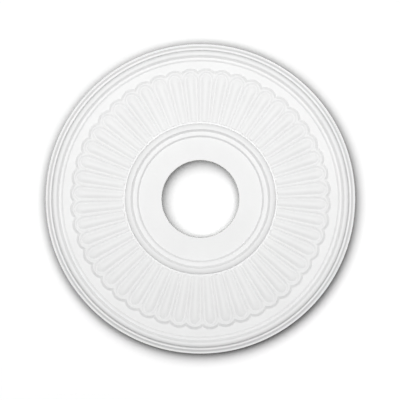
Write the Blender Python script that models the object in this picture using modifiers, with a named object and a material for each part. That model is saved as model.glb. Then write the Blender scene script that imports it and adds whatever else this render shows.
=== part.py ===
"""Moulded ceiling rose: a disc with a lamp hole and 48 scalloped flutes.

The rose is modelled as it hangs. Its flat back lies on z = 0 against the
ceiling and the decorated face looks down. A rise below is the height of the
face above the back, so it is measured down from z = 0. All sizes are metres.
"""

import math
from typing import NamedTuple

import bmesh
import bpy

NODE_NAME = "ceiling_rose"

# Overall size
OUTER_RADIUS = 0.2000
HOLE_RADIUS = 0.0500
TURN_STEPS = 80

# Rises of the level rings, from the edge to the hole
EDGE_BEAD_RISE = 0.0118
LOWER_FILLET_RISE = 0.0137
CROWN_RISE = 0.0176
OUTER_FILLET_RISE = 0.0144
FIELD_RISE = 0.0131
MARGIN_RISE = 0.0145
INNER_BEAD_RISE = 0.0180
INNER_FILLET_RISE = 0.0151
CENTRE_RISE = 0.0131

# Radii where the rings meet, from the edge to the hole
EDGE_BEAD_CREST_RADIUS = 0.1979
EDGE_STEP_RADIUS = 0.1960
CROWN_STEP_RADIUS = 0.1919
CROWN_CREST_RADIUS = 0.1874
CROWN_INNER_RADIUS = 0.1835
FIELD_STEP_RADIUS = 0.1783
MARGIN_OUTER_RADIUS = 0.1008
BEAD_STEP_RADIUS = 0.0973
BEAD_CREST_RADIUS = 0.0907
BEAD_INNER_RADIUS = 0.0882
CENTRE_STEP_RADIUS = 0.0807

# Small shapes of the turned profile
STEP_RUN = 0.0020
EDGE_WALL_RISE = 0.0110
CROWN_SHOULDER_DROP = 0.0013
BEAD_SHOULDER_DROP = 0.0007

# Flutes: a rib round each one, a valley inside the rib and a reed in the middle
FLUTE_COUNT = 48
HALF_CELL = math.pi / FLUTE_COUNT
FLUTE_INNER_RADIUS = 0.1004
BAND_SINK = 0.0010
RIB_RISE = 0.0152
VALLEY_INNER_RISE = 0.0147
VALLEY_OUTER_RISE = 0.0143
VALLEY_SHARE = 0.30
REED_INNER_RISE = 0.0157
REED_OUTER_RISE = 0.0161
FLANK_HEIGHT_SHARE = 0.64
FLANK_WIDTH_SHARE = 0.50

# The arches at the flutes' outer ends, reaching out from their springing
ARCH_CENTRE = 0.1523
SCALLOP_REACH = 0.0148
WALL_RUN = 0.0034
FOOT_SINK = 0.0004
WALL_TOP_REACH = SCALLOP_REACH - WALL_RUN / 2
WALL_FOOT_REACH = SCALLOP_REACH + WALL_RUN / 2
RIB_EDGE_REACH = 0.0122
VALLEY_REACH = 0.0091
FLANK_REACH = 0.0028
REED_END_RADIUS = 0.1440
ARCH_STEPS = 3

# Finish: primed polyurethane foam
PAINT_COLOUR = (0.84, 0.84, 0.84, 1.0)
PAINT_ROUGHNESS = 0.55
SMOOTH_ANGLE = math.radians(28)


def clear_scene():
    """Remove every object that the scene starts with."""
    for item in list(bpy.data.objects):
        bpy.data.objects.remove(item, do_unlink=True)


def make_collection(name):
    """Return a new collection linked under the scene."""
    collection = bpy.data.collections.new(name)
    bpy.context.scene.collection.children.link(collection)
    return collection


def round_over(start, end, steps, upright_first):
    """Return points of a quarter ellipse that follow start, up to end."""
    points = []
    for step in range(1, steps + 1):
        angle = math.pi / 2 * step / steps
        near, far = math.sin(angle), 1.0 - math.cos(angle)
        across, along = (far, near) if upright_first else (near, far)
        radius = start[0] + (end[0] - start[0]) * across
        rise = start[1] + (end[1] - start[1]) * along
        points.append((radius, rise))
    return points


def step_between(radius, outer_rise, inner_rise):
    """Return the two ends of a drafted step centred on a radius."""
    return [
        (radius + STEP_RUN / 2, outer_rise),
        (radius - STEP_RUN / 2, inner_rise),
    ]


def edge_profile():
    """Return the outer wall and the small bead that runs round the edge."""
    wall_top = (OUTER_RADIUS, EDGE_WALL_RISE)
    crest = (EDGE_BEAD_CREST_RADIUS, EDGE_BEAD_RISE)
    bead = round_over(wall_top, crest, 2, upright_first=True)
    step = step_between(EDGE_STEP_RADIUS, EDGE_BEAD_RISE, LOWER_FILLET_RISE)
    return [(OUTER_RADIUS, 0.0), wall_top] + bead + step


def crown_profile():
    """Return the round crown moulding and the fillet inside it."""
    foot = (CROWN_STEP_RADIUS, LOWER_FILLET_RISE)
    crest = (CROWN_CREST_RADIUS, CROWN_RISE)
    shoulder = (CROWN_INNER_RADIUS + STEP_RUN / 2, CROWN_RISE - CROWN_SHOULDER_DROP)
    points = [foot] + round_over(foot, crest, 4, upright_first=True)
    points += round_over(crest, shoulder, 2, upright_first=False)
    points.append((CROWN_INNER_RADIUS - STEP_RUN / 2, OUTER_FILLET_RISE))
    return points + step_between(FIELD_STEP_RADIUS, OUTER_FILLET_RISE, FIELD_RISE)


def bead_profile():
    """Return the margin inside the flutes, the round bead and its fillet."""
    foot = (BEAD_STEP_RADIUS, MARGIN_RISE)
    crest = (BEAD_CREST_RADIUS, INNER_BEAD_RISE)
    shoulder = (BEAD_INNER_RADIUS + STEP_RUN / 2, INNER_BEAD_RISE - BEAD_SHOULDER_DROP)
    points = step_between(MARGIN_OUTER_RADIUS, FIELD_RISE, MARGIN_RISE) + [foot]
    points += round_over(foot, crest, 3, upright_first=True)
    points += [shoulder, (BEAD_INNER_RADIUS - STEP_RUN / 2, INNER_FILLET_RISE)]
    return points


def centre_profile():
    """Return the step down to the centre ring and the hole's wall."""
    return step_between(CENTRE_STEP_RADIUS, INNER_FILLET_RISE, CENTRE_RISE) + [
        (HOLE_RADIUS, CENTRE_RISE),
        (HOLE_RADIUS, 0.0),
    ]


def build_turned_disc(collection):
    """Return the turned disc with its mouldings, without the flutes."""
    profile = edge_profile() + crown_profile() + bead_profile() + centre_profile()
    mesh = bpy.data.meshes.new(NODE_NAME)
    vertices = [(radius, 0.0, -rise) for radius, rise in profile]
    edges = [(i, (i + 1) % len(vertices)) for i in range(len(vertices))]
    mesh.from_pydata(vertices, edges, [])
    disc = bpy.data.objects.new(NODE_NAME, mesh)
    collection.objects.link(disc)
    screw = disc.modifiers.new("turn", "SCREW")
    screw.axis = "Z"
    screw.steps = TURN_STEPS
    screw.render_steps = TURN_STEPS
    screw.use_merge_vertices = True
    screw.merge_threshold = 0.00001
    return disc


class FluteLine(NamedTuple):
    """A U-shaped line along a flute: straight sides and an arched outer end."""

    inner_side: float
    inner_rise: float
    arch_side: float
    arch_rise: float
    reach: float


def half_width(radius):
    """Return half the width of one flute's cell at a radius."""
    return radius * math.tan(HALF_CELL)


def scallop_angles(reach):
    """Return the angles round an arch of the given reach, from cusp to cusp."""
    cusp = HALF_CELL + math.asin(ARCH_CENTRE * math.sin(HALF_CELL) / reach)
    return [cusp * step / ARCH_STEPS for step in range(-ARCH_STEPS, ARCH_STEPS + 1)]


def arch_angles():
    """Return the angles round a flute's arched end, out to both of its sides."""
    return [-math.pi / 2] + scallop_angles(WALL_TOP_REACH) + [math.pi / 2]


def line_points(line):
    """Return a line's points, kept inside the borders of the flute's cell."""
    arch = []
    for angle in arch_angles():
        along = ARCH_CENTRE + line.reach * math.cos(angle)
        side = min(line.arch_side * abs(math.sin(angle)), half_width(along))
        arch.append((along, math.copysign(side, angle), -line.arch_rise))
    start = (FLUTE_INNER_RADIUS, -line.inner_side, -line.inner_rise)
    end = (FLUTE_INNER_RADIUS, line.inner_side, -line.inner_rise)
    return [start] + arch + [end]


def wall_foot_points():
    """Return the foot of the scalloped wall, sunk a little into the field."""
    points = []
    for angle in scallop_angles(WALL_FOOT_REACH):
        along = ARCH_CENTRE + WALL_FOOT_REACH * math.cos(angle)
        side = WALL_FOOT_REACH * math.sin(angle)
        points.append((along, side, FOOT_SINK - FIELD_RISE))
    return points


def crest_points():
    """Return the line along the top of a reed, out to its nose and back."""
    count = len(arch_angles())
    start = (FLUTE_INNER_RADIUS, 0.0, -REED_INNER_RISE)
    nose = (REED_END_RADIUS, 0.0, -REED_OUTER_RISE)
    return [start] + [nose] * count + [start]


def flank_rise(valley_rise, reed_rise):
    """Return the rise of a reed's flank between its valley and its crest."""
    return valley_rise + (reed_rise - valley_rise) * FLANK_HEIGHT_SHARE


def flute_rows():
    """Return the lines of one flute as points, from its border to its crest."""
    inner = half_width(FLUTE_INNER_RADIUS)
    width = half_width(ARCH_CENTRE)
    valley_inner = inner * (1.0 - VALLEY_SHARE)
    valley_outer = width * (1.0 - VALLEY_SHARE)
    border = FluteLine(inner, RIB_RISE, WALL_TOP_REACH, RIB_RISE, WALL_TOP_REACH)
    rib_edge = FluteLine(inner, RIB_RISE, width, RIB_RISE, RIB_EDGE_REACH)
    valley = FluteLine(
        valley_inner, VALLEY_INNER_RISE, valley_outer, VALLEY_OUTER_RISE, VALLEY_REACH
    )
    flank = FluteLine(
        valley_inner * FLANK_WIDTH_SHARE, flank_rise(VALLEY_INNER_RISE, REED_INNER_RISE),
        valley_outer * FLANK_WIDTH_SHARE, flank_rise(VALLEY_OUTER_RISE, REED_OUTER_RISE),
        FLANK_REACH,
    )
    lines = [border, rib_edge, valley, flank]
    return [line_points(line) for line in lines] + [crest_points()]


def add_row(band, points, turn):
    """Add a flute's points to the band's mesh at an angle round the axis."""
    cosine, sine = math.cos(turn), math.sin(turn)
    row = []
    for along, side, height in points:
        place = (along * cosine - side * sine, along * sine + side * cosine, height)
        row.append(band.verts.new(place))
    return row


def loft(band, low, high):
    """Fill the band's mesh between two rows of the same length."""
    for i in range(len(low) - 1):
        band.faces.new((low[i], low[i + 1], high[i + 1], high[i]))


def add_flute(band, turn):
    """Loft one flute's lines, and the scalloped wall round its arched end."""
    rows = [add_row(band, points, turn) for points in flute_rows()]
    for low, high in zip(rows, rows[1:]):
        loft(band, low, high)
    loft(band, add_row(band, wall_foot_points(), turn), rows[0][2:-2])


def thicken_band(band):
    """Close the sheet of flutes with a flat back that lies inside the disc."""
    sheet = bmesh.ops.extrude_face_region(band, geom=band.faces[:])
    for item in sheet["geom"]:
        if isinstance(item, bmesh.types.BMVert):
            item.co.z = BAND_SINK - FIELD_RISE


def build_flute_band(collection):
    """Return the ring of flutes as one closed helper solid."""
    band = bmesh.new()
    for index in range(FLUTE_COUNT):
        add_flute(band, 2 * math.pi * (index + 0.5) / FLUTE_COUNT)
    bmesh.ops.remove_doubles(band, verts=band.verts, dist=0.00001)
    thicken_band(band)
    bmesh.ops.recalc_face_normals(band, faces=band.faces)
    mesh = bpy.data.meshes.new("flute_band")
    band.to_mesh(mesh)
    band.free()
    helper = bpy.data.objects.new("flute_band", mesh)
    helper.hide_render = True
    helper.display_type = "WIRE"
    collection.objects.link(helper)
    return helper


def make_paint():
    """Return the matt white primer of the moulding."""
    paint = bpy.data.materials.new("primed_polyurethane")
    paint.use_nodes = True
    shader = paint.node_tree.nodes["Principled BSDF"]
    shader.inputs["Base Color"].default_value = PAINT_COLOUR
    shader.inputs["Roughness"].default_value = PAINT_ROUGHNESS
    shader.inputs["Metallic"].default_value = 0.0
    return paint


def join_flutes(rose, band):
    """Join the flutes to the disc and shade its round mouldings smooth."""
    union = rose.modifiers.new("flutes", "BOOLEAN")
    union.operation = "UNION"
    union.solver = "EXACT"
    union.object = band
    evaluated = rose.evaluated_get(bpy.context.evaluated_depsgraph_get())
    mesh = bpy.data.meshes.new_from_object(evaluated)
    rose.modifiers.clear()
    rose.data = mesh
    mesh.shade_smooth()
    mesh.set_sharp_from_angle(angle=SMOOTH_ANGLE)


def main():
    """Build the ceiling rose."""
    clear_scene()
    rose = build_turned_disc(make_collection(NODE_NAME))
    band = build_flute_band(make_collection("helpers"))
    join_flutes(rose, band)
    rose.data.materials.clear()
    rose.data.materials.append(make_paint())


main()
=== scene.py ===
"""Ceiling rose: the visual model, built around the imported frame.

The rose hangs under a ceiling. Its flat back lies on z = 0 and the decorated
face looks down. A rise is the height of the face above the back, so it is
measured down from z = 0. All sizes are metres unless a name says otherwise.
"""

import logging
import math
from collections.abc import Sequence
from dataclasses import dataclass, field
from enum import Enum

import bmesh
import bpy
from mathutils import Matrix, Vector


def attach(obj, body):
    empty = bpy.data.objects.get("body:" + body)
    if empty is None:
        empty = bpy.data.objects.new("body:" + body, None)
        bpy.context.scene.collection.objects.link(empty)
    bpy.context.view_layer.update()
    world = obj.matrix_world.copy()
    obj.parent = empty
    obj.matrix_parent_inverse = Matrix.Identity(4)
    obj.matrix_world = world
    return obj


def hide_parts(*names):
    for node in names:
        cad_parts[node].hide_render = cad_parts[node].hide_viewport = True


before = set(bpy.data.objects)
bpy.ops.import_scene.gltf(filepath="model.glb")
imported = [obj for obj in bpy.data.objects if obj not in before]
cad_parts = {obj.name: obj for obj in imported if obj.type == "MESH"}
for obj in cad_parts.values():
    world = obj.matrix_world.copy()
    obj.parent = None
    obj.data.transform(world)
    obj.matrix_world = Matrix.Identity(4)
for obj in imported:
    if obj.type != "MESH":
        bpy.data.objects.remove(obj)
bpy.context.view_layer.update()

LOG = logging.getLogger("ceiling_rose")
NODE = "ceiling_rose"
BODY = "root"
MM = 0.001
WELD_DISTANCE = 0.002 * MM
# A rounded corner takes just under half of each of its two edges.
LONGEST_ROUNDING = 0.48

ProfilePoint = tuple[float, float]
Point = tuple[float, float, float]


def linear_colour(code: str) -> tuple[float, float, float, float]:
    """Turn an sRGB hex colour into linear light.

    Args:
        code: Six hex digits, such as "EDEDEB".

    Returns:
        Linear red, green, blue and an alpha of one.
    """
    values = []
    for start in (0, 2, 4):
        encoded = int(code[start:start + 2], 16) / 255
        low = encoded <= 0.04045
        values.append(encoded / 12.92 if low else ((encoded + 0.055) / 1.055) ** 2.4)
    return (values[0], values[1], values[2], 1.0)


def ease(share: float) -> float:
    """Return a smooth step from 0 to 1 for a share between 0 and 1."""
    held = min(max(share, 0.0), 1.0)
    return held * held * (3.0 - 2.0 * held)


def blend(start: float, end: float, share: float) -> float:
    """Return the value at a share of the way from start to end."""
    return start + (end - start) * share


def step_ends(radius: float, run: float) -> tuple[float, float]:
    """Return the outer and inner radius of a step, from its middle and its run."""
    return radius + run / 2, radius - run / 2


class Turn(Enum):
    """Which way a quarter round leaves its first point."""

    UPRIGHT = "upright"
    LEVEL = "level"


def quarter_round(start: ProfilePoint, end: ProfilePoint, steps: int, turn: Turn) -> list[ProfilePoint]:
    """Return the points of a quarter ellipse after its start, up to its end.

    Args:
        start: Radius and rise of the first point.
        end: Radius and rise of the last point.
        steps: Number of points returned.
        turn: Whether the curve leaves its start upright or level.

    Returns:
        The points along the curve.
    """
    points = []
    for step in range(1, steps + 1):
        angle = math.pi / 2 * step / steps
        rising, easing = math.sin(angle), 1.0 - math.cos(angle)
        across, along = (easing, rising) if turn is Turn.UPRIGHT else (rising, easing)
        points.append((blend(start[0], end[0], across), blend(start[1], end[1], along)))
    return points


def soften(corners: Sequence[tuple[float, float, float]], steps: int) -> list[ProfilePoint]:
    """Round the inner corners of a profile with short curves.

    Args:
        corners: Radius, rise and rounding length of each corner.
        steps: Number of faces in each rounded corner.

    Returns:
        The profile with a curve at every corner whose rounding isn't zero.
    """
    points: list[ProfilePoint] = []
    for index, (radius, rise, rounding) in enumerate(corners):
        corner = Vector((radius, rise))
        if not rounding or index in (0, len(corners) - 1):
            points.append((radius, rise))
            continue
        legs = []
        for neighbour in (corners[index - 1], corners[index + 1]):
            leg = Vector(neighbour[:2]) - corner
            legs.append(corner + leg.normalized() * min(rounding, leg.length * LONGEST_ROUNDING))
        for step in range(steps + 1):
            share = step / steps
            point = legs[0] * (1 - share) ** 2 + corner * 2 * share * (1 - share) + legs[1] * share ** 2
            points.append((point.x, point.y))
    return points


@dataclass
class Skin:
    """A closed surface that is gathered row by row."""

    points: list[Point] = field(default_factory=list)
    faces: list[tuple[int, ...]] = field(default_factory=list)

    def add_row(self, row: Sequence[Point]) -> list[int]:
        """Add a row of points and return their indices.

        Args:
            row: The points in their order.

        Returns:
            The index of each point.
        """
        first = len(self.points)
        self.points.extend(row)
        return list(range(first, len(self.points)))

    def join(self, low: Sequence[int], high: Sequence[int]) -> None:
        """Fill the band between two rows that have the same count.

        Args:
            low: Indices of one row.
            high: Indices of the other row, in the same order.
        """
        for i in range(len(low) - 1):
            self.faces.append((low[i], low[i + 1], high[i + 1], high[i]))

    def bearing(self, index: int) -> float:
        """Return a point's angle round the axis."""
        x, y, _ = self.points[index]
        return math.atan2(y, x)

    def stitch(self, low: Sequence[int], high: Sequence[int], middle: float) -> None:
        """Fill the band between two rows whose counts differ.

        Args:
            low: Indices of one row, by growing angle round the axis.
            high: Indices of the other row, by growing angle.
            middle: The angle in the middle of both rows.
        """
        def turned(index: int) -> float:
            """Return a point's angle from the middle, without a jump."""
            return math.remainder(self.bearing(index) - middle, 2 * math.pi)

        i = j = 0
        while i < len(low) - 1 or j < len(high) - 1:
            low_next = turned(low[i + 1]) if i < len(low) - 1 else math.inf
            high_next = turned(high[j + 1]) if j < len(high) - 1 else math.inf
            if low_next <= high_next:
                self.faces.append((low[i], low[i + 1], high[j]))
                i += 1
            else:
                self.faces.append((low[i], high[j + 1], high[j]))
                j += 1

    def to_mesh(self, name: str) -> bpy.types.Mesh:
        """Weld the rows, point every face outwards and return the mesh.

        Args:
            name: The new mesh's name.

        Returns:
            The closed mesh.
        """
        mesh = bpy.data.meshes.new(name)
        mesh.from_pydata(self.points, [], self.faces)
        work = bmesh.new()
        work.from_mesh(mesh)
        bmesh.ops.remove_doubles(work, verts=work.verts, dist=WELD_DISTANCE)
        bmesh.ops.recalc_face_normals(work, faces=work.faces)
        work.to_mesh(mesh)
        work.free()
        return mesh


@dataclass
class Mouldings:
    """The turned mouldings: the rim outside the flutes and the bead inside them.

    All sizes are listed from the edge inwards.
    """

    outer_radius: float = 200.0 * MM
    hole_radius: float = 50.0 * MM

    # Rises of the wall, the crests and the level rings.
    edge_wall_rise: float = 11.35 * MM
    edge_bead_rise: float = 11.7 * MM
    lower_fillet_rise: float = 13.75 * MM
    crown_rise: float = 17.6 * MM
    outer_fillet_rise: float = 14.65 * MM
    field_rise: float = 13.3 * MM
    margin_rise: float = 14.6 * MM
    bead_rise: float = 18.0 * MM
    inner_fillet_rise: float = 15.35 * MM
    centre_rise: float = 13.4 * MM

    # Radii of the crests, of the middle of each step, and where the flutes join.
    edge_crest_radius: float = 197.75 * MM
    edge_step_radius: float = 196.05 * MM
    crown_step_radius: float = 192.4 * MM
    crown_crest_radius: float = 187.4 * MM
    crown_inner_radius: float = 183.4 * MM
    field_step_radius: float = 178.35 * MM
    field_join_radius: float = 170.0 * MM
    margin_join_radius: float = 98.2 * MM
    bead_step_radius: float = 97.45 * MM
    bead_crest_radius: float = 90.0 * MM
    bead_inner_radius: float = 88.25 * MM
    centre_step_radius: float = 80.7 * MM

    # How far each step runs between its top and its foot.
    edge_step_run: float = 2.7 * MM
    crown_step_run: float = 1.1 * MM
    crown_inner_run: float = 2.35 * MM
    field_step_run: float = 2.25 * MM
    bead_inner_run: float = 2.7 * MM
    centre_step_run: float = 2.25 * MM

    # How high the crown's curve starts, and how far a crest falls before its inner step.
    crown_foot_lift: float = 0.55 * MM
    crown_dip: float = 1.2 * MM
    bead_dip: float = 0.6 * MM

    # Roundings at the foot of a step and at the lip of the lamp hole.
    foot_rounding: float = 0.35 * MM
    lip_rounding: float = 0.7 * MM

    # Faces across each curve, and rings across the back.
    edge_steps: int = 7
    crown_steps: int = 10
    crown_inner_steps: int = 5
    bead_steps: int = 8
    bead_inner_steps: int = 4
    foot_steps: int = 3
    back_rows: int = 5

    def rim(self) -> list[ProfilePoint]:
        """Draw the profile from the back's outer edge in to the field.

        Returns:
            Radius and rise of each point.
        """
        edge_out, edge_in = step_ends(self.edge_step_radius, self.edge_step_run)
        foot_out, foot_in = step_ends(self.crown_step_radius, self.crown_step_run)
        crown_out, crown_in = step_ends(self.crown_inner_radius, self.crown_inner_run)
        field_out, field_in = step_ends(self.field_step_radius, self.field_step_run)
        wall_top = (self.outer_radius, self.edge_wall_rise)
        edge_crest = (self.edge_crest_radius, self.edge_bead_rise)
        crown_foot = (foot_in, self.lower_fillet_rise + self.crown_foot_lift)
        crown_crest = (self.crown_crest_radius, self.crown_rise)
        crown_edge = (crown_out, self.crown_rise - self.crown_dip)
        points = [(self.outer_radius, 0.0), wall_top]
        points += quarter_round(wall_top, edge_crest, self.edge_steps, Turn.UPRIGHT)
        points += soften([
            (edge_out, self.edge_bead_rise, 0.0),
            (edge_in, self.lower_fillet_rise, self.foot_rounding),
            (foot_out, self.lower_fillet_rise, self.foot_rounding),
            (*crown_foot, 0.0),
        ], self.foot_steps)
        points += quarter_round(crown_foot, crown_crest, self.crown_steps, Turn.UPRIGHT)
        points += quarter_round(crown_crest, crown_edge, self.crown_inner_steps, Turn.LEVEL)
        points += soften([
            (*crown_edge, 0.0),
            (crown_in, self.outer_fillet_rise, self.foot_rounding),
            (field_out, self.outer_fillet_rise, self.foot_rounding),
            (field_in, self.field_rise, self.foot_rounding),
            (self.field_join_radius, self.field_rise, 0.0),
        ], self.foot_steps)[1:]
        return points

    def centre(self) -> list[ProfilePoint]:
        """Draw the profile from the flutes' margin in to the back of the hole.

        Returns:
            Radius and rise of each point.
        """
        bead_out, bead_in = step_ends(self.bead_inner_radius, self.bead_inner_run)
        ring_out, ring_in = step_ends(self.centre_step_radius, self.centre_step_run)
        bead_foot = (self.bead_step_radius, self.margin_rise)
        bead_crest = (self.bead_crest_radius, self.bead_rise)
        bead_edge = (bead_out, self.bead_rise - self.bead_dip)
        points = [(self.margin_join_radius, self.margin_rise), bead_foot]
        points += quarter_round(bead_foot, bead_crest, self.bead_steps, Turn.UPRIGHT)
        points += quarter_round(bead_crest, bead_edge, self.bead_inner_steps, Turn.LEVEL)
        points += soften([
            (*bead_edge, 0.0),
            (bead_in, self.inner_fillet_rise, self.foot_rounding),
            (ring_out, self.inner_fillet_rise, self.foot_rounding),
            (ring_in, self.centre_rise, self.foot_rounding),
            (self.hole_radius, self.centre_rise, self.lip_rounding),
            (self.hole_radius, 0.0, 0.0),
        ], self.foot_steps)[1:]
        return points

    def back(self) -> list[ProfilePoint]:
        """Return the flat back from the hole out to the edge."""
        shares = [row / self.back_rows for row in range(self.back_rows + 1)]
        return [(blend(self.hole_radius, self.outer_radius, share), 0.0) for share in shares]


@dataclass
class FluteLine:
    """A U-shaped line along a flute: two straight sides and an arched end.

    Attributes:
        inner_side: Distance from the flute's middle at the inner end.
        arch_side: The same where the arch springs, which is half the arch's width.
        arch_centre: Distance from the rose's axis to where the arch springs.
        reach: How far the arch reaches out from there.
    """

    inner_side: float
    arch_side: float
    arch_centre: float
    reach: float


@dataclass
class Flutes:
    """The band of flutes: ribs, the arches at their ends and a reed in each."""

    count: int = 48
    inner_radius: float = 98.8 * MM
    fade_length: float = 1.8 * MM

    # Rises along a flute, the power of the curve that a rib falls by, and how far
    # a reed's section goes from a soft wave (0) to a full dome (1).
    rib_rise: float = 15.4 * MM
    valley_inner_rise: float = 14.9 * MM
    valley_outer_rise: float = 14.45 * MM
    rib_curve: float = 1.7
    reed_inner_rise: float = 15.8 * MM
    reed_outer_rise: float = 16.2 * MM
    reed_fullness: float = 0.93

    # The arches reach out from their springing at arch_centre. The valley lies at
    # a share of the way from the cell's border to its middle. The larger the power,
    # the blunter the reed's nose.
    arch_centre: float = 152.6 * MM
    scallop_reach: float = 14.6 * MM
    wall_run: float = 3.5 * MM
    rib_edge_gap: float = 0.1 * MM
    rib_edge_reach: float = 11.65 * MM
    valley_share: float = 0.34
    valley_reach: float = 8.95 * MM
    reed_end_radius: float = 144.55 * MM
    nose_power: float = 1.5

    # The scalloped wall is rounded over at its top and eased out at its foot.
    wall_round: float = 0.6 * MM
    wall_round_share: float = 0.25
    wall_round_steps: int = 3

    # Points along a line and rows across a flute.
    side_steps: int = 4
    fade_steps: int = 4
    corner_steps: int = 3
    arch_steps: int = 8
    rib_rows: int = 3
    slope_rows: int = 8
    reed_rows: int = 12

    @property
    def half_cell(self) -> float:
        """Return half the angle of one flute's cell."""
        return math.pi / self.count

    @property
    def top_reach(self) -> float:
        """Return the reach of the arch at the top of the scalloped wall."""
        return self.scallop_reach - self.wall_run / 2

    def half_width(self, radius: float) -> float:
        """Return half the width of one flute's cell at a radius."""
        return radius * math.tan(self.half_cell)

    def cusp_angle(self, reach: float) -> float:
        """Return where an arch of a given radius meets the cell's border."""
        sine = self.arch_centre * math.sin(self.half_cell) / reach
        return self.half_cell + math.asin(sine)

    def half_line(self, line: FluteLine) -> list[tuple[float, float]]:
        """Return one half of a line, from its inner end to the arch's top.

        Args:
            line: The line's sizes.

        Returns:
            Distance along the flute and distance from its middle, for each point.
        """
        points = []
        for step in range(self.fade_steps):
            along = self.inner_radius + self.fade_length * step / self.fade_steps
            points.append((along, self.side_at(line, along)))
        start = self.inner_radius + self.fade_length
        for step in range(self.side_steps):
            along = blend(start, line.arch_centre, step / self.side_steps)
            points.append((along, self.side_at(line, along)))
        cusp = self.cusp_angle(self.top_reach)
        angles = [blend(math.pi / 2, cusp, i / self.corner_steps) for i in range(self.corner_steps)]
        angles += [cusp * (1 - i / self.arch_steps) for i in range(self.arch_steps + 1)]
        for angle in angles:
            along = line.arch_centre + line.reach * math.cos(angle)
            side = min(line.arch_side * math.sin(angle), self.half_width(along))
            points.append((along, side))
        return points

    def side_at(self, line: FluteLine, along: float) -> float:
        """Return a line's distance from the middle on its straight part.

        Args:
            line: The line's sizes.
            along: Distance from the rose's axis.

        Returns:
            Half the line's width there.
        """
        share = (along - self.inner_radius) / (line.arch_centre - self.inner_radius)
        arch_side = min(line.arch_side, self.half_width(line.arch_centre))
        return blend(line.inner_side, arch_side, share)

    def guide_lines(self) -> tuple[FluteLine, FluteLine, FluteLine]:
        """Work out the lines that the flute's surface is stretched between.

        Returns:
            The lines at the cell's border, at the rib's edge and in the valley.
        """
        inner = self.half_width(self.inner_radius)
        width = self.half_width(self.arch_centre)
        border = FluteLine(inner, self.top_reach, self.arch_centre, self.top_reach)
        rib_edge = FluteLine(
            inner - self.rib_edge_gap, width - self.rib_edge_gap, self.arch_centre, self.rib_edge_reach
        )
        kept = 1.0 - self.valley_share
        valley = FluteLine(inner * kept, width * kept, self.arch_centre, self.valley_reach)
        return border, rib_edge, valley

    def between(self, low: FluteLine, high: FluteLine, share: float) -> list[tuple[float, float]]:
        """Return half of a line that lies a share of the way between two lines.

        Args:
            low: The line at a share of 0.
            high: The line at a share of 1.
            share: How far the new line is from the low one.

        Returns:
            Distance along the flute and distance from its middle, for each point.
        """
        pairs = zip(self.half_line(low), self.half_line(high))
        return [(blend(a[0], b[0], share), blend(a[1], b[1], share)) for a, b in pairs]

    def reed_line(self, share: float) -> list[tuple[float, float]]:
        """Return half of a line on the reed.

        Args:
            share: 0 for the line in the valley and 1 for the line on the crest.

        Returns:
            Distance along the flute and distance from its middle, for each point.
        """
        valley = self.guide_lines()[2]
        left = 1.0 - share
        valley_top = self.arch_centre + self.valley_reach
        top = blend(valley_top, self.reed_end_radius, share ** self.nose_power)
        reach = self.valley_reach * left
        line = FluteLine(valley.inner_side * left, valley.arch_side * left, top - reach, reach)
        return self.half_line(line)

    def reed_height(self, share: float, along: float) -> float:
        """Return the rise on the reed at a share of the way up its side.

        Args:
            share: 0 in the valley and 1 on the crest.
            along: Distance from the rose's axis.

        Returns:
            The rise at that point.
        """
        span = (along - self.inner_radius) / (self.reed_end_radius - self.inner_radius)
        crest = blend(self.reed_inner_rise, self.reed_outer_rise, min(max(span, 0.0), 1.0))
        wave = 0.5 - 0.5 * math.cos(math.pi * share)
        dome = math.sin(math.pi / 2 * share)
        return blend(self.valley_height(along), crest, blend(wave, dome, self.reed_fullness))

    def valley_height(self, along: float) -> float:
        """Return the valley's rise at a distance from the rose's axis."""
        span = (along - self.inner_radius) / (self.arch_centre - self.inner_radius)
        return blend(self.valley_inner_rise, self.valley_outer_rise, min(max(span, 0.0), 1.0))

    def rows(self, margin_rise: float) -> list[list[Point]]:
        """Return one flute's rows of points, from its border to its crest.

        Args:
            margin_rise: The rise of the margin that the flutes fade into.

        Returns:
            Rows of points in the flute's own frame, middle along +X.
        """
        border, rib_edge, valley = self.guide_lines()
        rows = []
        for row in range(self.rib_rows):
            share = row / self.rib_rows
            half = self.between(border, rib_edge, share)
            rows.append([(a, s, self.rib_rise) for a, s in half])
        for row in range(self.slope_rows):
            share = row / self.slope_rows
            rib_share = (1.0 - share) ** self.rib_curve
            half = self.between(rib_edge, valley, share)
            rows.append([
                (a, s, blend(self.valley_height(a), self.rib_rise, rib_share)) for a, s in half
            ])
        for row in range(self.reed_rows + 1):
            share = row / self.reed_rows
            half = self.reed_line(share)
            rows.append([(a, s, self.reed_height(share, a)) for a, s in half])
        return [self.full_row(row, margin_rise) for row in rows]

    def full_row(self, half: Sequence[Point], margin_rise: float) -> list[Point]:
        """Mirror half a row and fade its inner end into the margin.

        Args:
            half: Distance along the flute, distance from its middle and rise of each point.
            margin_rise: The margin's rise.

        Returns:
            The whole row in the flute's own frame.
        """
        faded = []
        for along, side, rise in half:
            share = ease((along - self.inner_radius) / self.fade_length)
            faded.append((along, side, -blend(margin_rise, rise, share)))
        lower = [(along, -side, height) for along, side, height in faded]
        return lower + list(reversed(faded[:-1]))

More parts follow.
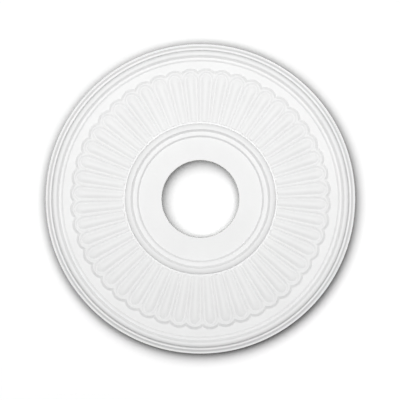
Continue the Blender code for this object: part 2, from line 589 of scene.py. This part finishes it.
    def wall_rows(self, field_rise: float) -> list[list[Point]]:
        """Return the rows down the scalloped wall, from the rib to the field.

        Args:
            field_rise: The rise of the field outside the flutes.

        Returns:
            Rows of points in the flute's own frame, middle along +X.
        """
        top = self.top_reach
        foot = self.scallop_reach + self.wall_run / 2
        drop = self.rib_rise - field_rise
        crest = (top, self.rib_rise)
        shoulder = (top + self.wall_round, self.rib_rise - self.wall_round_share * drop)
        ankle = (foot - self.wall_round, field_rise + self.wall_round_share * drop)
        profile = [crest, *quarter_round(crest, shoulder, self.wall_round_steps, Turn.LEVEL), ankle]
        profile += quarter_round(ankle, (foot, field_rise), self.wall_round_steps, Turn.UPRIGHT)
        rows = []
        for reach, rise in profile:
            cusp = self.cusp_angle(reach)
            count = 2 * self.arch_steps
            angles = [cusp * (2 * i / count - 1) for i in range(count + 1)]
            rows.append([
                (self.arch_centre + reach * math.cos(a), reach * math.sin(a), -rise) for a in angles
            ])
        return rows


@dataclass
class Rose:
    """The whole rose as one closed piece."""

    mouldings: Mouldings = field(default_factory=Mouldings)
    flutes: Flutes = field(default_factory=Flutes)
    columns_per_flute: int = 8
    sharp_angle: float = math.radians(50)

    def ring(self, radius: float, rise: float, start: float, span: float) -> list[Point]:
        """Return the points of one flute's share of a turned ring.

        Args:
            radius: The ring's radius.
            rise: The ring's rise.
            start: Angle where the share starts.
            span: Angle that the share covers.

        Returns:
            The points in their order round the axis.
        """
        points = []
        for column in range(self.columns_per_flute + 1):
            angle = start + span * column / self.columns_per_flute
            points.append((radius * math.cos(angle), radius * math.sin(angle), -rise))
        return points

    def add_turned(
        self, skin: Skin, profile: Sequence[ProfilePoint], start: float, span: float
    ) -> tuple[list[int], list[int]]:
        """Add one flute's share of a turned profile.

        Args:
            skin: The surface to add to.
            profile: Radius and rise of each ring.
            start: Angle where the share starts.
            span: Angle that the share covers.

        Returns:
            The first and the last row of indices.
        """
        rows = [skin.add_row(self.ring(radius, rise, start, span)) for radius, rise in profile]
        for low, high in zip(rows, rows[1:]):
            skin.join(low, high)
        return rows[0], rows[-1]

    def turned_row(self, skin: Skin, row: Sequence[Point], angle: float) -> list[int]:
        """Add a flute's row, turned to its angle round the axis.

        Args:
            skin: The surface to add to.
            row: The points in the flute's own frame.
            angle: The flute's angle.

        Returns:
            The index of each point.
        """
        turn = Matrix.Rotation(angle, 3, "Z")
        return skin.add_row([tuple(turn @ Vector(point)) for point in row])

    def add_cell(self, skin: Skin, index: int) -> None:
        """Add the wedge of the rose that holds one flute.

        Args:
            skin: The surface to add to.
            index: The flute's place round the axis.
        """
        span = 2 * math.pi / self.flutes.count
        start = span * index
        middle = start + span / 2
        rim = self.add_turned(skin, self.mouldings.rim(), start, span)
        centre = self.add_turned(skin, self.mouldings.centre(), start, span)
        self.add_turned(skin, self.mouldings.back(), start, span)
        rows = self.flutes.rows(self.mouldings.margin_rise)
        band = [self.turned_row(skin, row, middle) for row in rows]
        for low, high in zip(band, band[1:]):
            skin.join(low, high)
        inner_end = [row[0] for row in band] + [row[-1] for row in reversed(band[:-1])]
        skin.stitch(inner_end, centre[0], middle)
        walls = self.flutes.wall_rows(self.mouldings.field_rise)
        wall = [self.turned_row(skin, row, middle) for row in walls]
        for low, high in zip(wall, wall[1:]):
            skin.join(low, high)
        skin.stitch(wall[-1], rim[1], middle)

    def build(self) -> bpy.types.Object:
        """Build the rose as one smooth-shaded object and add it to the scene.

        Returns:
            The new object.
        """
        skin = Skin()
        for index in range(self.flutes.count):
            self.add_cell(skin, index)
        mesh = skin.to_mesh("moulded_rose")
        mesh.shade_smooth()
        mesh.set_sharp_from_angle(angle=self.sharp_angle)
        rose = bpy.data.objects.new("moulded_rose", mesh)
        bpy.context.scene.collection.objects.link(rose)
        weighted = rose.modifiers.new("even_shading", "WEIGHTED_NORMAL")
        weighted.keep_sharp = True
        return rose


def add_node(
    material: bpy.types.Material,
    kind: str,
    settings: dict[str | int, object],
    links: dict[str | int, object],
) -> bpy.types.Node:
    """Add a shader node with its settings and links.

    Args:
        material: The material that gets the node.
        kind: The node's type, such as "ShaderNodeTexNoise".
        settings: Attributes of the node, and values of its inputs by name or place.
        links: Output sockets, by the name or place of the input that each feeds.

    Returns:
        The new node.
    """
    node = material.node_tree.nodes.new(kind)
    for key, value in settings.items():
        if isinstance(key, str) and hasattr(node, key):
            setattr(node, key, value)
        else:
            node.inputs[key].default_value = value
    for key, socket in links.items():
        material.node_tree.links.new(socket, node.inputs[key])
    return node


def new_material(name: str) -> tuple[bpy.types.Material, bpy.types.Node]:
    """Make a node material.

    Args:
        name: The material's name.

    Returns:
        The new material and its Principled shader.
    """
    material = bpy.data.materials.new(name)
    material.use_nodes = True
    return material, material.node_tree.nodes["Principled BSDF"]


@dataclass(frozen=True)
class PrimedPolyurethane:
    """Rigid polyurethane foam from a closed mould, sprayed with matt white primer.

    The mould leaves a dense, smooth skin, and the primer an even white with a
    low, broad sheen and a fine orange peel. The back is the bare skin: a little
    warmer, with pinholes where air bubbles met the mould.
    """

    primer: str = "EEEEEE"
    primer_thin: str = "E9E9E9"
    bare_skin: str = "E2DED2"
    roughness: float = 0.52
    specular: float = 0.35

    # Sprayed primer peels in waves of 1 to 2 mm, a few micrometres deep.
    peel_wave: float = 1.6 * MM
    peel_depth: float = 0.012 * MM
    # The spray's own grain is finer than the render shows, so it is drawn at 0.5 mm.
    grain_wave: float = 0.5 * MM
    grain_depth: float = 0.004 * MM
    # One pass of the spray gun varies over about 40 mm.
    pass_width: float = 40.0 * MM
    # Bubbles at the back are 1 to 2 mm wide and some 9 mm apart.
    bubble_spacing: float = 9.0 * MM
    bubble_radius: float = 0.8 * MM
    bubble_depth: float = 0.25 * MM
    # The primer ends where the side meets the back.
    back_edge: float = 0.5 * MM

    # Layers of noise in the spray's passes, and in the ripples.
    pass_detail: float = 3.0
    ripple_detail: float = 2.0

    def make(self) -> bpy.types.Material:
        """Build the primed foam as a node material.

        Returns:
            The new material.
        """
        material, shader = new_material("primed_polyurethane")
        shader.inputs["Roughness"].default_value = self.roughness
        shader.inputs["Specular IOR Level"].default_value = self.specular
        place = add_node(material, "ShaderNodeTexCoord", {}, {}).outputs["Object"]
        behind = self.back_share(material, place)
        links = material.node_tree.links
        links.new(self.colour(material, place, behind), shader.inputs["Base Color"])
        links.new(self.relief(material, place, behind), shader.inputs["Normal"])
        return material

    def back_share(
        self, material: bpy.types.Material, place: bpy.types.NodeSocket
    ) -> bpy.types.NodeSocket:
        """Tell the unpainted back from the rest by the height.

        Args:
            material: The material that gets the nodes.
            place: The point on the object.

        Returns:
            An output socket that is 1 on the back and 0 elsewhere.
        """
        height = add_node(material, "ShaderNodeSeparateXYZ", {}, {"Vector": place}).outputs["Z"]
        return add_node(
            material, "ShaderNodeMapRange",
            {"From Min": -self.back_edge, "From Max": -self.back_edge / 2}, {"Value": height},
        ).outputs["Result"]

    def colour(
        self, material: bpy.types.Material, place: bpy.types.NodeSocket, behind: bpy.types.NodeSocket
    ) -> bpy.types.NodeSocket:
        """Return the colour: primer that varies with the spray's passes, and the bare back.

        Args:
            material: The material that gets the nodes.
            place: The point on the object.
            behind: 1 on the back.

        Returns:
            The colour's output socket.
        """
        sprayed = add_node(
            material, "ShaderNodeTexNoise",
            {"Scale": 1 / self.pass_width, "Detail": self.pass_detail}, {"Vector": place},
        )
        paint = add_node(
            material, "ShaderNodeMix",
            {"data_type": "RGBA", 6: linear_colour(self.primer_thin), 7: linear_colour(self.primer)},
            {0: sprayed.outputs["Fac"]},
        )
        return add_node(
            material, "ShaderNodeMix",
            {"data_type": "RGBA", 7: linear_colour(self.bare_skin)},
            {0: behind, 6: paint.outputs[2]},
        ).outputs[2]

    def relief(
        self, material: bpy.types.Material, place: bpy.types.NodeSocket, behind: bpy.types.NodeSocket
    ) -> bpy.types.NodeSocket:
        """Return the surface's relief: pinholes in the back, orange peel and spray grain.

        Args:
            material: The material that gets the nodes.
            place: The point on the object.
            behind: 1 on the back.

        Returns:
            The normal's output socket.
        """
        bubbles = add_node(
            material, "ShaderNodeTexVoronoi", {"Scale": 1 / self.bubble_spacing}, {"Vector": place}
        )
        pinhole = add_node(
            material, "ShaderNodeMapRange",
            {"interpolation_type": "SMOOTHSTEP", "From Min": self.bubble_radius / self.bubble_spacing,
             "From Max": 0.0, "To Max": -1.0},
            {"Value": bubbles.outputs["Distance"]},
        )
        pits = add_node(
            material, "ShaderNodeMath", {"operation": "MULTIPLY"},
            {0: pinhole.outputs["Result"], 1: behind},
        )
        surface = add_node(
            material, "ShaderNodeBump", {"Distance": self.bubble_depth},
            {"Height": pits.outputs["Value"]},
        )
        for wave, depth in ((self.peel_wave, self.peel_depth), (self.grain_wave, self.grain_depth)):
            ripple = add_node(
                material, "ShaderNodeTexNoise",
                {"Scale": 1 / wave, "Detail": self.ripple_detail}, {"Vector": place},
            )
            surface = add_node(
                material, "ShaderNodeBump", {"Distance": depth},
                {"Height": ripple.outputs["Fac"], "Normal": surface.outputs["Normal"]},
            )
        return surface.outputs["Normal"]


@dataclass(frozen=True)
class StudioPaper:
    """Matt white paper for the floor, without any sheen."""

    colour: str = "EDEDED"

    def make(self) -> bpy.types.Material:
        """Build the paper as a plain material.

        Returns:
            The new material.
        """
        material, shader = new_material("studio_paper")
        shader.inputs["Base Color"].default_value = linear_colour(self.colour)
        shader.inputs["Roughness"].default_value = 1.0
        shader.inputs["Specular IOR Level"].default_value = 0.0
        return material


@dataclass(frozen=True)
class CeilingPaint:
    """Dead flat white ceiling paint, exposed to pure white as in a catalogue.

    It is painted on the room's side only. From above, the ceiling is clear, so
    that the back of the rose shows.

    Attributes:
        lamp_foot: The point of the ceiling straight above the lamp.
        exposure: How strongly the paint prints under the lamp.
        falloff: How much the print is lifted for each square metre that a
            point's squared distance from the lamp's foot grows, and for each
            square of that, so that the open ceiling is one even white.
    """

    lamp_foot: Point
    exposure: float = 0.105
    falloff: tuple[float, float] = (1.39, 2.66)

    def make(self) -> bpy.types.Material:
        """Build the paint as a node material that is clear from behind.

        Returns:
            The new material.
        """
        material, shader = new_material("ceiling_paint")
        tree = material.node_tree
        tree.nodes.remove(shader)
        lift, more = (self.exposure * share for share in self.falloff)
        place = add_node(material, "ShaderNodeTexCoord", {}, {}).outputs["Object"]
        reach = add_node(
            material, "ShaderNodeVectorMath", {"operation": "DISTANCE", 1: self.lamp_foot}, {0: place}
        ).outputs["Value"]
        square = add_node(
            material, "ShaderNodeMath", {"operation": "MULTIPLY"}, {0: reach, 1: reach}
        ).outputs["Value"]
        slope = add_node(
            material, "ShaderNodeMath", {"operation": "MULTIPLY_ADD", 1: more, 2: lift}, {0: square}
        ).outputs["Value"]
        white = add_node(
            material, "ShaderNodeMath",
            {"operation": "MULTIPLY_ADD", 2: self.exposure}, {0: square, 1: slope},
        ).outputs["Value"]
        flat = add_node(material, "ShaderNodeBsdfDiffuse", {}, {"Color": white})
        clear = add_node(material, "ShaderNodeBsdfTransparent", {}, {})
        side = add_node(material, "ShaderNodeNewGeometry", {}, {}).outputs["Backfacing"]
        both = add_node(
            material, "ShaderNodeMixShader", {},
            {0: side, 1: flat.outputs["BSDF"], 2: clear.outputs["BSDF"]},
        )
        output = tree.nodes["Material Output"]
        tree.links.new(both.outputs["Shader"], output.inputs["Surface"])
        return material


class Facing(Enum):
    """Which way a level plane faces: the order in which its corners are taken."""

    UP = 1
    DOWN = -1


@dataclass(frozen=True)
class SoftBox:
    """A level studio light that shines up through a diffusing front.

    Attributes:
        name: The light's name.
        place: Where its middle is.
        width: Its size along X.
        depth: Its size along Y.
        power: Its power in watts.
        spread: The angle that the grid on its front lets through.
    """

    name: str
    place: Point
    width: float
    depth: float
    power: float
    spread: float = math.pi

    def hang(self) -> bpy.types.Object:
        """Add the light to the scene, hidden from the camera.

        Returns:
            The light's object.
        """
        data = bpy.data.lights.new(self.name, "AREA")
        data.shape = "RECTANGLE"
        data.size = self.width
        data.size_y = self.depth
        data.energy = self.power
        data.spread = self.spread
        light = bpy.data.objects.new(self.name, data)
        light.location = self.place
        light.rotation_euler = (math.pi, 0.0, 0.0)
        light.visible_camera = False
        bpy.context.scene.collection.objects.link(light)
        return light


@dataclass
class Studio:
    """The room: a ceiling, a pale floor, soft light and the camera below."""

    # The gap keeps the ceiling clear of the rose's back.
    ceiling_gap: float = 0.4 * MM
    ceiling_half: float = 4.0
    floor_depth: float = 3.0
    floor_half: float = 25.0
    ambient_colour: str = "F2F2F2"
    # The room's light on things, and how bright it is where the camera sees it.
    ambient: float = 0.371
    backdrop: float = 1.02
    # The photograph is printed hard, so that its low relief shows on white.
    film_contrast: float = 1.6
    key: SoftBox = SoftBox("key_light", (0.0, -0.19, -1.81), 2.1, 1.13, 11.6, math.radians(100))
    # The lamp for the ceiling stands to one side, for a soft shadow round the edge.
    wash: SoftBox = SoftBox("ceiling_wash", (-0.176, -0.301, -0.534), 1.066, 1.066, 60.0)
    # Light from the sky, all but its lowest part, for the floor and the rose's back.
    sky_strength: float = 1.9
    sky_angle: float = math.radians(150)

    # The camera stands square below the rose. The photograph shows 400 mm over
    # 310 of its 400 pixels, turned by a degree and a pixel off its middle.
    frame_width: float = 0.5161
    camera_distance: float = 2.4
    middle_rise: float = 14.0 * MM
    sensor_width: float = 36.0
    roll: float = math.radians(-0.99)
    shift: tuple[float, float] = (-0.001, -0.00275)
    view_depth: float = 20.0

    def add_plane(self, name: str, half: float, height: float, facing: Facing) -> bpy.types.Object:
        """Add a level square to the stage.

        Args:
            name: The plane's name.
            half: Half its side.
            height: Its height.
            facing: Whether it faces up or down.

        Returns:
            The plane.
        """
        square = ((-half, -half), (half, -half), (half, half), (-half, half))
        corners = [(x, y, height) for x, y in square]
        mesh = bpy.data.meshes.new(name)
        mesh.from_pydata(corners[::facing.value], [], [(0, 1, 2, 3)])
        plane = bpy.data.objects.new(name, mesh)
        bpy.context.scene.collection.objects.link(plane)
        return plane

    def build_room(self) -> None:
        """Add the ceiling that the rose hangs under, and the floor.

        Both are there for the camera and take no part in the light on the rose.
        """
        lamp_x, lamp_y, _ = self.wash.place
        ceiling = self.add_plane("ceiling", self.ceiling_half, self.ceiling_gap, Facing.DOWN)
        ceiling.data.materials.append(CeilingPaint((lamp_x, lamp_y, 0.0)).make())
        ceiling.visible_transmission = False
        ceiling.visible_shadow = False
        floor = self.add_plane("floor", self.floor_half, -self.floor_depth, Facing.UP)
        floor.data.materials.append(StudioPaper().make())
        for plane in (ceiling, floor):
            plane.visible_diffuse = False
            plane.visible_glossy = False

    def shine_on(self, light: bpy.types.Object, name: str, shines: bool) -> None:
        """Let a light reach one object alone, or every object but that one.

        Args:
            light: The light.
            name: The object's name.
            shines: Whether that object is the one lit, or the one left out.
        """
        receivers = bpy.data.collections.new(light.name + "_receivers")
        receivers.objects.link(bpy.data.objects[name])
        light.light_linking.receiver_collection = receivers
        state = receivers.collection_objects[0].light_linking
        state.link_state = "INCLUDE" if shines else "EXCLUDE"

    def surroundings(self) -> bpy.types.World:
        """Build the pale room, brighter in the picture than the light it gives.

        Returns:
            The new world.
        """
        world = bpy.data.worlds.new("pale_room")
        world.use_nodes = True
        room = world.node_tree.nodes["Background"]
        room.inputs["Color"].default_value = linear_colour(self.ambient_colour)
        path = world.node_tree.nodes.new("ShaderNodeLightPath")
        level = world.node_tree.nodes.new("ShaderNodeMapRange")
        level.inputs["To Min"].default_value = self.ambient
        level.inputs["To Max"].default_value = self.backdrop
        world.node_tree.links.new(path.outputs["Is Camera Ray"], level.inputs["Value"])
        world.node_tree.links.new(level.outputs["Result"], room.inputs["Strength"])
        return world

    def light(self) -> None:
        """Add the soft light from below and above, the pale surroundings and the film.

        The key light is for the rose, the wash for the ceiling alone.
        """
        self.shine_on(self.key.hang(), "ceiling", shines=False)
        self.shine_on(self.wash.hang(), "ceiling", shines=True)
        sky = bpy.data.lights.new("sky_light", "SUN")
        sky.energy = self.sky_strength
        sky.angle = self.sky_angle
        bpy.context.scene.collection.objects.link(bpy.data.objects.new("sky_light", sky))
        bpy.context.scene.world = self.surroundings()
        film = bpy.context.scene.view_settings
        film.view_transform = "Standard"
        film.gamma = 1 / self.film_contrast

    def place_camera(self) -> bpy.types.Object:
        """Add the scene's camera, which looks straight up at the rose.

        Returns:
            The camera's object.
        """
        data = bpy.data.cameras.new("camera")
        data.sensor_width = self.sensor_width
        data.lens = self.sensor_width * self.camera_distance / self.frame_width
        data.shift_x, data.shift_y = self.shift
        data.clip_end = self.view_depth
        camera = bpy.data.objects.new("camera", data)
        height = -(self.camera_distance + self.middle_rise)
        facing_up = Matrix.Rotation(math.pi, 4, "X") @ Matrix.Rotation(self.roll, 4, "Z")
        camera.matrix_world = Matrix.Translation((0.0, 0.0, height)) @ facing_up
        bpy.context.scene.collection.objects.link(camera)
        bpy.context.scene.camera = camera
        return camera


def main() -> None:
    """Build the rose and its studio."""
    logging.basicConfig(level=logging.INFO, format="%(name)s: %(message)s")
    studio = Studio()
    studio.place_camera()
    studio.build_room()
    studio.light()

    rose = Rose().build()
    rose.data.materials.append(PrimedPolyurethane().make())
    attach(rose, BODY)
    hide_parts(NODE)
    LOG.info("%s: %d faces", rose.name, len(rose.data.polygons))


if __name__ == "__main__":
    main()
